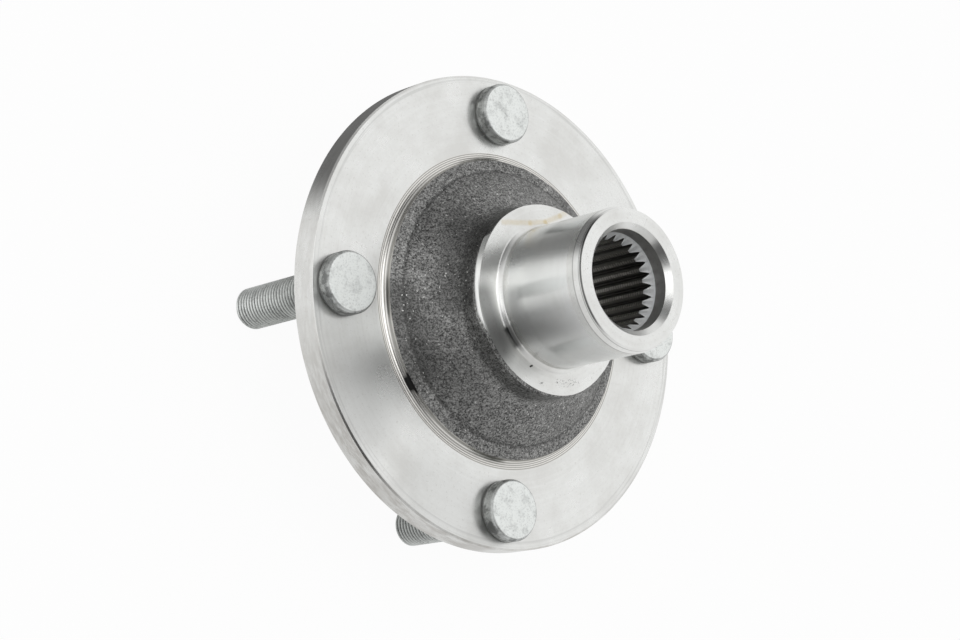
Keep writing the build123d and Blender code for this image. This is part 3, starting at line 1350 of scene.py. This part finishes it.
@dataclass
class WheelStud:
    """A pressed-in wheel stud with a plain round head and a fine thread."""

    seat_height: float = FLANGE_FACE
    head_radius: float = HEAD_RADIUS
    head_height: float = 4.2
    head_edge_width: float = 0.5
    head_edge_drop: float = 0.9
    head_foot_width: float = 0.4
    head_foot_rise: float = 0.35
    head_spacing: float = 1.6
    head_steps: int = 96
    knurl_radius: float = 6.45
    crest_radius: float = THREAD_CREST
    root_radius: float = THREAD_ROOT
    pitch: float = 1.25
    crest_flat: float = 0.16
    root_flat: float = 0.30
    projection: float = 33.6
    hidden_length: float = 1.0
    tip_chamfer: float = 1.0
    spare_turns: int = 5
    seam_gap: float = 0.002
    steps: int = 40
    sharp_angle: float = 40.0

    def head(self, mesh: bmesh.types.BMesh) -> None:
        """Adds the head and the knurled length below it.

        Args:
            mesh: The stud's mesh.
        """
        seat = self.seat_height
        top = seat + self.head_height
        outline = divided(rounded([
            Corner(0.0, top),
            Corner(self.head_radius - self.head_edge_width, top, 0.7, 4),
            Corner(self.head_radius, top - self.head_edge_drop, 0.6, 3),
            Corner(self.head_radius, seat + self.head_foot_rise, 0.3, 3),
            Corner(self.head_radius - self.head_foot_width, seat, 0.1),
            Corner(self.knurl_radius, seat),
            Corner(self.knurl_radius, 0.0),
            Corner(0.0, 0.0),
        ]), self.head_spacing)
        turn(mesh, outline, self.head_steps)

    def coil(self) -> bmesh.types.BMesh:
        """The thread's surface, a helix that runs past both of the shank's ends.

        Returns:
            The surface as a new mesh.
        """
        root_start = self.crest_flat + (self.pitch - self.crest_flat - self.root_flat) / 2
        turns = math.ceil(self.projection / self.pitch) + self.spare_turns
        start = -self.projection - self.pitch
        section = [
            (self.crest_radius, 0.0),
            (self.crest_radius, self.crest_flat),
            (self.root_radius, root_start),
            (self.root_radius, root_start + self.root_flat),
            (self.crest_radius, self.pitch),
        ]
        coil = bmesh.new()
        verts = [coil.verts.new(at(radius, start + height)) for radius, height in section]
        edges = [coil.edges.new(pair) for pair in zip(verts, verts[1:])]
        bmesh.ops.spin(coil, geom=[*verts, *edges], cent=ORIGIN, axis=AXIS, angle=math.tau,
                       steps=self.steps, dvec=(0, 0, self.pitch / self.steps))
        bmesh.ops.spin(coil, geom=everything(coil), cent=ORIGIN, axis=AXIS, angle=0.0, steps=turns,
                       dvec=(0, 0, self.pitch), use_duplicate=True)
        return coil

    def shank(self, mesh: bmesh.types.BMesh) -> None:
        """Adds the threaded shank, from inside the flange to the chamfered tip.

        Args:
            mesh: The stud's mesh.
        """
        join(mesh, self.coil())
        bmesh.ops.remove_doubles(mesh, verts=mesh.verts, dist=self.seam_gap)
        for height, normal in ((-self.projection, -AXIS), (self.hidden_length, AXIS)):
            bmesh.ops.bisect_plane(mesh, geom=everything(mesh), plane_co=(0, 0, height),
                                   plane_no=normal, clear_outer=True)
        bmesh.ops.holes_fill(mesh, edges=[edge for edge in mesh.edges if edge.is_boundary])
        for vert in mesh.verts:
            limit = self.crest_radius - max(0.0, self.tip_chamfer - self.projection - vert.co.z)
            radius = math.hypot(vert.co.x, vert.co.y)
            if radius > limit:
                vert.co.x *= limit / radius
                vert.co.y *= limit / radius

    def build(self, name: str, place: Matrix, finish: Material) -> Object:
        """Makes one stud.

        Args:
            name: The object's name.
            place: Where its axis stands, in millimetres.
            finish: Its material.

        Returns:
            The stud's object.
        """
        mesh = bmesh.new()
        self.shank(mesh)
        self.head(mesh)
        close_up(mesh)
        bmesh.ops.transform(mesh, matrix=place, verts=mesh.verts)
        return add_object(name, mesh, [finish], self.sharp_angle)


# ---------------------------------------------------------------------------
# The studio
# ---------------------------------------------------------------------------


@dataclass(frozen=True)
class Softbox:
    """A square area lamp that looks at the hub's origin."""

    name: str
    place: tuple[float, float, float]
    size: float
    power: float

    def add(self) -> None:
        """Adds the lamp to the scene."""
        lamp = bpy.data.lights.new(self.name, "AREA")
        lamp.shape = "SQUARE"
        lamp.size = self.size
        lamp.energy = self.power
        made = link(self.name, lamp)
        made.location = self.place
        made.rotation_euler = (-Vector(self.place)).to_track_quat("-Z", "Y").to_euler()


@dataclass(frozen=True)
class DimSide:
    """A dimmer side of the studio, as a soft round patch of directions about the hub, in degrees."""

    azimuth: float
    elevation: float
    core: float
    reach: float
    depth: float

    def mask(self, x: Signal, y: Signal, z: Signal) -> Signal:
        """Share of light that is missing in a direction whose length is 1.

        Args:
            x: The direction's X.
            y: Its Y.
            z: Its Z.

        Returns:
            The share, up to the side's depth.
        """
        lift = math.radians(self.elevation)
        centre = polar(math.cos(lift), math.radians(self.azimuth), math.sin(lift))
        facing = x * centre.x + y * centre.y + z * centre.z
        edge, core = math.cos(math.radians(self.reach)), math.cos(math.radians(self.core))
        return facing.step(edge, core) * self.depth


@dataclass
class Studio:
    """Camera, floor, backdrop and lamp, in metres."""

    camera_place: tuple[float, float, float] = (-0.46409, -0.14266, 0.51754)
    camera_target: tuple[float, float, float] = (-0.00420, -0.00254, 0.00355)
    camera_roll: float = 76.54
    focal_length: float = 93.258
    sensor_width: float = 36.0
    floor_height: float = -0.0336
    floor_size: float = 3.0
    floor_glow: float = 0.95
    floor_colour: Colour = (0.85, 0.85, 0.85, 1.0)
    fill: float = 0.88
    dim_sides: tuple[DimSide, ...] = (
        DimSide(108.0, 42.0, 12.0, 28.0, 0.88),
        DimSide(112.0, -20.0, 22.0, 42.0, 0.85),
        DimSide(231.0, 38.0, 16.0, 30.0, 0.92),
        DimSide(288.0, 47.0, 20.0, 45.0, 0.32),
        DimSide(245.0, -25.0, 30.0, 60.0, 0.13),
    )
    lamp: Softbox = Softbox("key", (-0.370, 0.130, 1.130), 0.85, 2.8)

    def add_camera(self) -> None:
        """Adds the camera and makes it the scene's own."""
        lens = bpy.data.cameras.new("camera")
        lens.sensor_width = self.sensor_width
        lens.lens = self.focal_length
        made = link("camera", lens)
        sight = Vector(self.camera_target) - Vector(self.camera_place)
        level = sight.to_track_quat("-Z", "Y").to_matrix().to_4x4()
        roll = Matrix.Rotation(math.radians(self.camera_roll), 4, "Z")
        made.matrix_world = Matrix.Translation(self.camera_place) @ level @ roll
        bpy.context.scene.camera = made

    def rays(self, graph: Graph) -> tuple[Signal, Signal]:
        """1 for camera rays, and 1 for glossy and transmission rays: both see the white background."""
        camera = graph.add("ShaderNodeLightPath", output="Is Camera Ray")
        return camera, camera.beside("Is Glossy Ray").larger(camera.beside("Is Transmission Ray"))

    def brightness(self, graph: Graph, direction: Signal) -> Signal:
        """Light that comes from a direction, from 0 to 1.

        Args:
            graph: The tree that needs it.
            direction: The direction, of length 1.

        Returns:
            The light.
        """
        missing = sum(side.mask(*graph.parts(direction)) for side in self.dim_sides)
        return (1 - missing).larger(0.0)

    def floor_paint(self) -> Material:
        """Makes the floor's material: white to the camera, and as dim as the studio in reflections.

        Returns:
            The material.
        """
        paint = bpy.data.materials.new("floor_white")
        paint.use_nodes = True
        graph = Graph(paint.node_tree)
        matt = graph.add("ShaderNodeBsdfDiffuse", inputs={"Color": self.floor_colour})
        camera, mirrored = self.rays(graph)
        direction = graph.add("ShaderNodeVectorMath", {"operation": "NORMALIZE"}, {0: graph.place()})
        strength = camera.larger(self.brightness(graph, direction))
        glow = graph.add("ShaderNodeEmission", inputs={"Color": WHITE, "Strength": strength})
        factor = camera.larger(mirrored) * self.floor_glow
        graph.finish(graph.add("ShaderNodeMixShader", inputs={0: factor, 1: matt, 2: glow}))
        return paint

    def add_floor(self) -> Object:
        """Adds the pale floor that the studs stand on.

        Returns:
            The floor's object.
        """
        mesh = bmesh.new()
        bmesh.ops.create_grid(mesh, x_segments=1, y_segments=1, size=self.floor_size)
        bmesh.ops.translate(mesh, vec=(0, 0, self.floor_height), verts=mesh.verts)
        data = bpy.data.meshes.new("floor")
        mesh.to_mesh(data)
        mesh.free()
        data.materials.append(self.floor_paint())
        return link("floor", data)

    def light_world(self) -> None:
        """Gives the world its white backdrop and its soft fill."""
        world = bpy.data.worlds.new("studio")
        world.use_nodes = True
        bpy.context.scene.world = world
        graph = Graph(world.node_tree)
        camera, mirrored = self.rays(graph)
        direction = graph.add("ShaderNodeTexCoord", output="Generated")
        level = (self.fill + (1 - self.fill) * mirrored) * self.brightness(graph, direction)
        inputs = {"Color": WHITE, "Strength": camera.larger(level)}
        graph.finish(graph.add("ShaderNodeBackground", inputs=inputs), "ShaderNodeOutputWorld")

    def build(self) -> None:
        """Sets up the whole studio."""
        self.add_camera()
        self.add_floor()
        self.light_world()
        self.lamp.add()
        bpy.context.scene.view_settings.view_transform = "Standard"


def dress(piece: Object, node: str) -> None:
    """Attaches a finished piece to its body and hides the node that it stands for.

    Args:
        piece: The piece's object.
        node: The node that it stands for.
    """
    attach(piece, "root")
    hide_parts(node)
    LOG.info("%s: %d faces, stands for %s", piece.name, len(piece.data.polygons), node)


def main() -> None:
    """Builds the hub, the studs and the studio."""
    logging.basicConfig(level=logging.INFO)
    hub = WheelHub()
    finishes = [
        MarkedSteel("turned_steel", (0.798, 0.805, 0.790), 0.28, anisotropy=0.55),
        ForgedScale("forged_scale", (0.15, 0.15, 0.147), 0.50),
        GroundSteel("ground_steel", (0.785, 0.795, 0.79), 0.24, anisotropy=0.6),
        BroachedSteel("broached_steel", (0.26, 0.257, 0.245), 0.35),
        TurnedSteel("bored_steel", (0.56, 0.56, 0.55), 0.44),
        # Painted reflection: the lead-in's colour is made paler and slightly bluish, standing in for bright
        # light that it reflects.
        TurnedSteel("lead_in_steel", (0.96, 0.98, 0.99), 0.45, 0.30),
    ]
    dress(hub.build([finish.material() for finish in finishes]), "wheel_hub")
    coating = ZincFlake("zinc_flake", (0.74, 0.76, 0.745), 0.46, 0.9).material()
    stud = WheelStud()
    for index in range(hub.stud_count):
        place = Matrix.Rotation(math.tau * index / hub.stud_count, 4, "Z") @ Matrix.Translation(
            (hub.bolt_circle_radius, 0, 0))
        piece = stud.build(f"stud_{index + 1}", place, coating)
        dress(piece, f"wheel_stud_{index + 1}")
    Studio().build()


if __name__ == "__main__":
    main()
